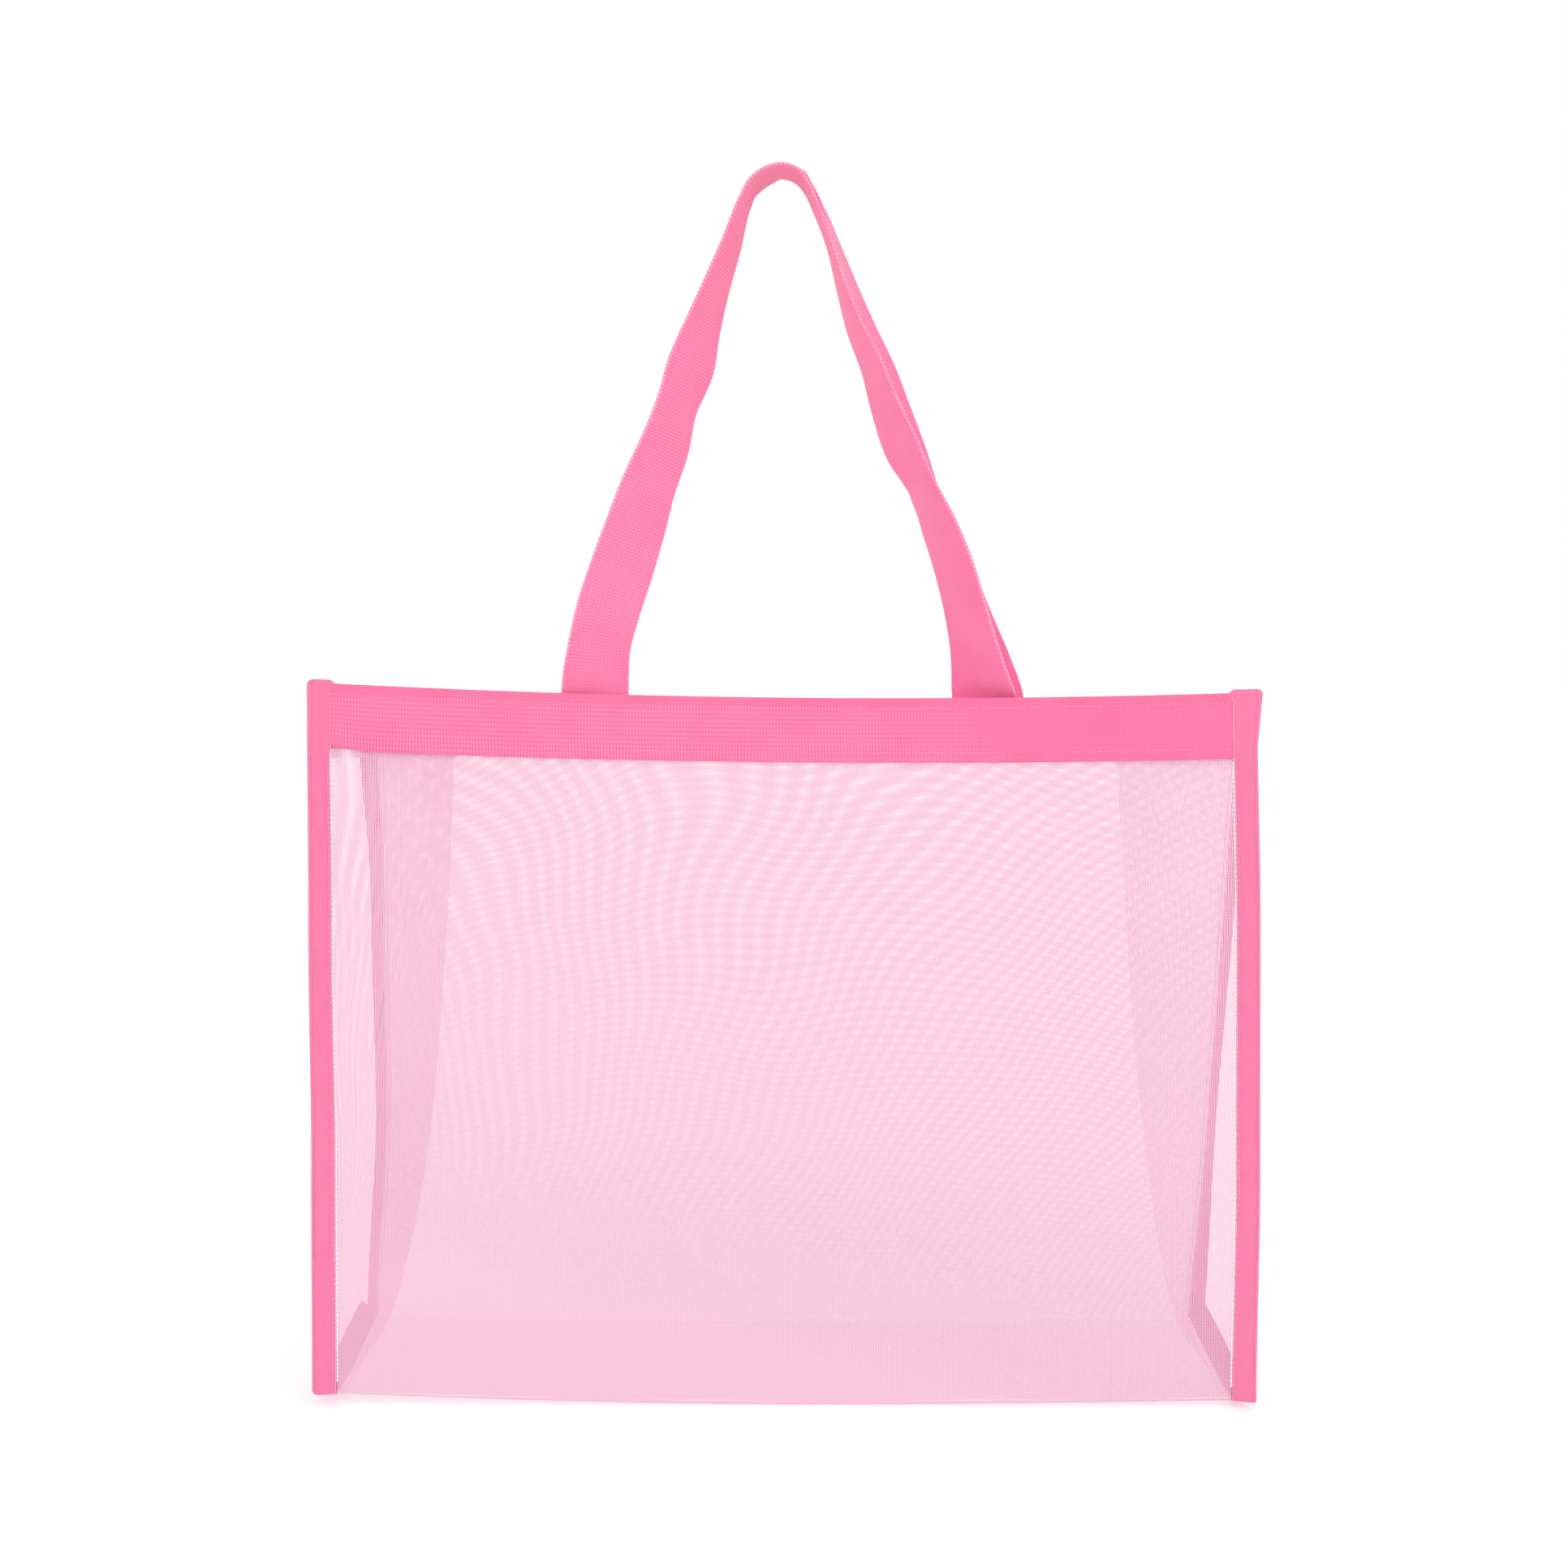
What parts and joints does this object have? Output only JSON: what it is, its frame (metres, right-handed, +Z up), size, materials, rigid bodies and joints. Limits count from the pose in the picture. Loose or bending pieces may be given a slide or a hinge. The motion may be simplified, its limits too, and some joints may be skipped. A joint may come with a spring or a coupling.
{
  "type": "mesh beach bag",
  "caption": "Open-topped mesh tote bag with folded side gussets, webbing top bands, taped seams and shoulder handles that fold down outside.",
  "frame": {"origin": "middle of the base, on the surface that the bag stands on", "axes": "+Z up, +X to the right of someone facing the front, the front faces -Y"},
  "size_m": [0.431, 0.1212, 0.5596],
  "materials": {
    "mesh": "fine open polyester mesh, matte",
    "webbing": "ribbed webbing, soft sheen",
    "binding_tape": "woven tape, matte",
    "thread": "polyester thread"
  },
  "bodies": {
    "base": {"base_panel": "mesh", "base_left_binding": "binding_tape", "base_right_binding": "binding_tape", "base_stitching": "thread", "left_gusset": "mesh", "right_gusset": "mesh"},
    "front_panel": {"front_panel": "mesh", "front_top_band": "webbing", "front_left_binding": "binding_tape", "front_right_binding": "binding_tape", "front_handle_ends": "webbing", "front_stitching": "thread"},
    "back_panel": {"back_panel": "mesh", "back_top_band": "webbing", "back_left_binding": "binding_tape", "back_right_binding": "binding_tape", "back_handle_ends": "webbing", "back_stitching": "thread"},
    "front_handle": {"front_handle": "webbing"},
    "back_handle": {"back_handle": "webbing"}
  },
  "joints": [
    {"name": "front_lean", "type": "hinge", "parent": "base", "child": "front_panel", "pos_m": [0, -0.06, 0.0005], "axis": [1, 0, 0], "range_deg": [0, 5.6], "deforming": ["left_gusset", "right_gusset"]},
    {"name": "back_lean", "type": "hinge", "parent": "base", "child": "back_panel", "pos_m": [0, 0.06, 0.0005], "axis": [-1, 0, 0], "range_deg": [0, 5.6], "deforming": ["left_gusset", "right_gusset"]},
    {"name": "front_handle_swing", "type": "hinge", "parent": "front_panel", "child": "front_handle", "pos_m": [0, -0.03245, 0.31564], "axis": [1, 0, 0], "range_deg": [0, 170]},
    {"name": "back_handle_swing", "type": "hinge", "parent": "back_panel", "child": "back_handle", "pos_m": [0, 0.03245, 0.31564], "axis": [-1, 0, 0], "range_deg": [0, 170]}
  ]
}
